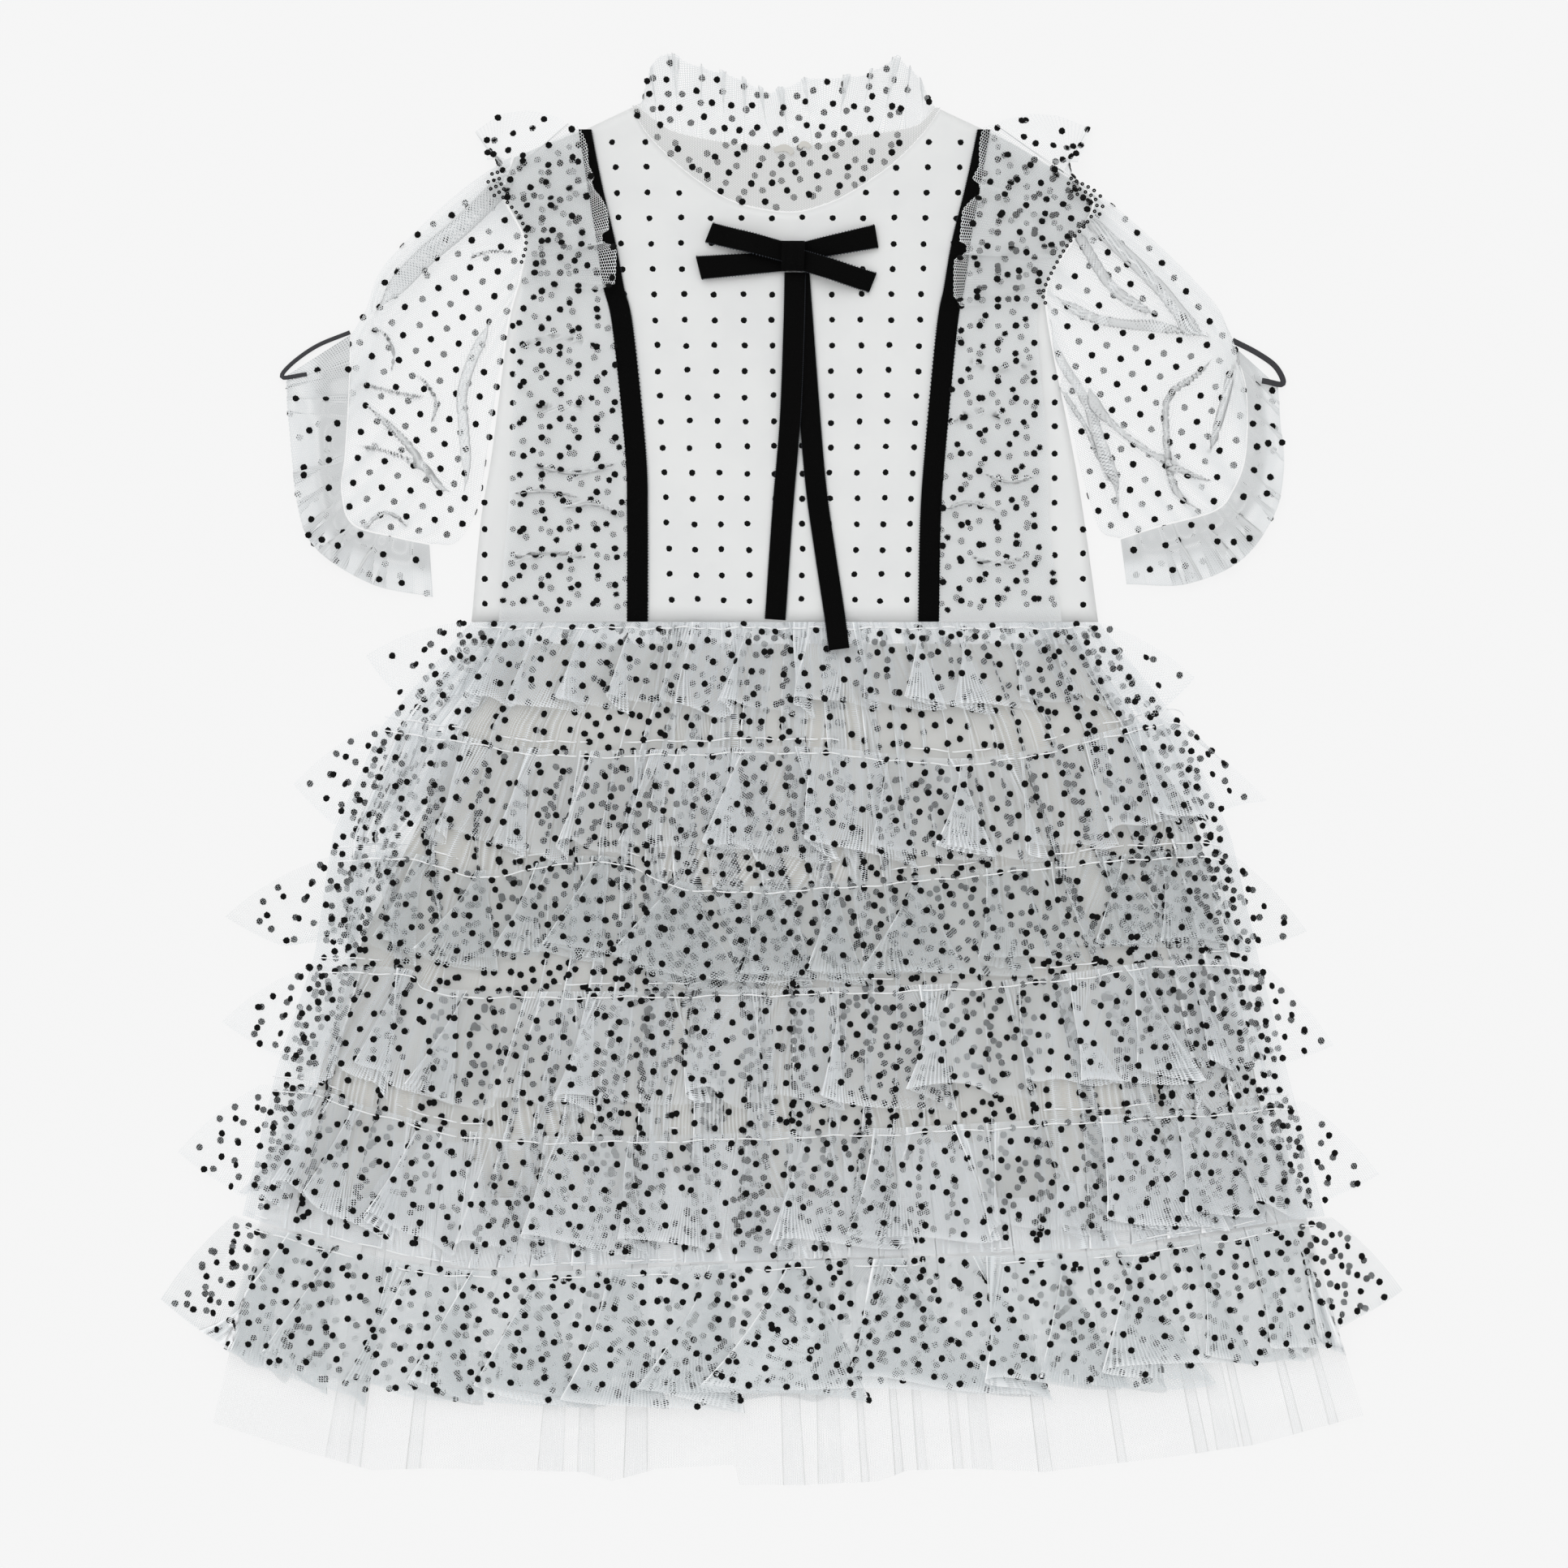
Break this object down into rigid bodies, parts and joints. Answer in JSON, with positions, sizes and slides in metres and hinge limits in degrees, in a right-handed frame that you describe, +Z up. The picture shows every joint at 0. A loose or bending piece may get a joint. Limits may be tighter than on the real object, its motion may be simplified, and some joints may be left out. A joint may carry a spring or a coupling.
{
  "type": "child's tiered tulle party dress",
  "caption": "Child's party dress of dotted tulle laid flat, with velvet ribbons and bow, a ruffle collar, puff sleeves and a tiered ruffle skirt over a net petticoat.",
  "frame": {"origin": "centre of the footprint on the surface that the dress lies on", "axes": "+Y from the hem towards the collar, +X towards the dress's own left sleeve, which is on the right seen from above, +Z up from the surface, with the dress's front on top"},
  "size_m": [0.6737, 0.7743, 0.0162],
  "materials": {
    "dotted_tulle": "sheer soft tulle net with flocked black dots",
    "white_cotton": "matt plain-woven cotton with a grid of black flocked dots",
    "black_velvet": "short-pile velvet ribbon with a fine looped edge",
    "cream_lining": "matt woven lining",
    "white_net": "plain stiff net in soft pressed folds",
    "black_elastic": "narrow smooth elastic"
  },
  "bodies": {
    "root": {"back_bodice_left": "white_cotton", "back_bodice_right": "white_cotton", "back_yoke": "dotted_tulle", "bow_knot": "black_velvet", "bow_loop_lower_left": "black_velvet", "bow_loop_lower_right": "black_velvet", "bow_loop_upper_left": "black_velvet", "bow_loop_upper_right": "black_velvet", "bow_tail_left": "black_velvet", "bow_tail_right": "black_velvet", "collar_ruffle_back": "dotted_tulle", "collar_ruffle_front": "dotted_tulle", "cuff_flounce_left": "dotted_tulle", "cuff_flounce_right": "dotted_tulle", "elastic_left": "black_elastic", "elastic_right": "black_elastic", "front_centre_panel": "white_cotton", "front_yoke": "dotted_tulle", "petticoat_back": "white_net", "petticoat_front": "white_net", "ruffle_1_back": "dotted_tulle", "ruffle_1_front": "dotted_tulle", "ruffle_2_back": "dotted_tulle", "ruffle_2_front": "dotted_tulle", "ruffle_3_back": "dotted_tulle", "ruffle_3_front": "dotted_tulle", "ruffle_4_back": "dotted_tulle", "ruffle_4_front": "dotted_tulle", "ruffle_5_back": "dotted_tulle", "ruffle_5_front": "dotted_tulle", "ruffle_6_back": "dotted_tulle", "ruffle_6_front": "dotted_tulle", "shoulder_ruffle_left": "dotted_tulle", "shoulder_ruffle_right": "dotted_tulle", "side_overlay_left": "dotted_tulle", "side_overlay_right": "dotted_tulle", "side_panel_left": "white_cotton", "side_panel_right": "white_cotton", "skirt_base_back": "dotted_tulle", "skirt_base_front": "dotted_tulle", "skirt_lining_back": "cream_lining", "skirt_lining_front": "cream_lining", "sleeve_left": "dotted_tulle", "sleeve_right": "dotted_tulle", "velvet_ribbon_left": "black_velvet", "velvet_ribbon_right": "black_velvet"}
  },
  "joints": []
}
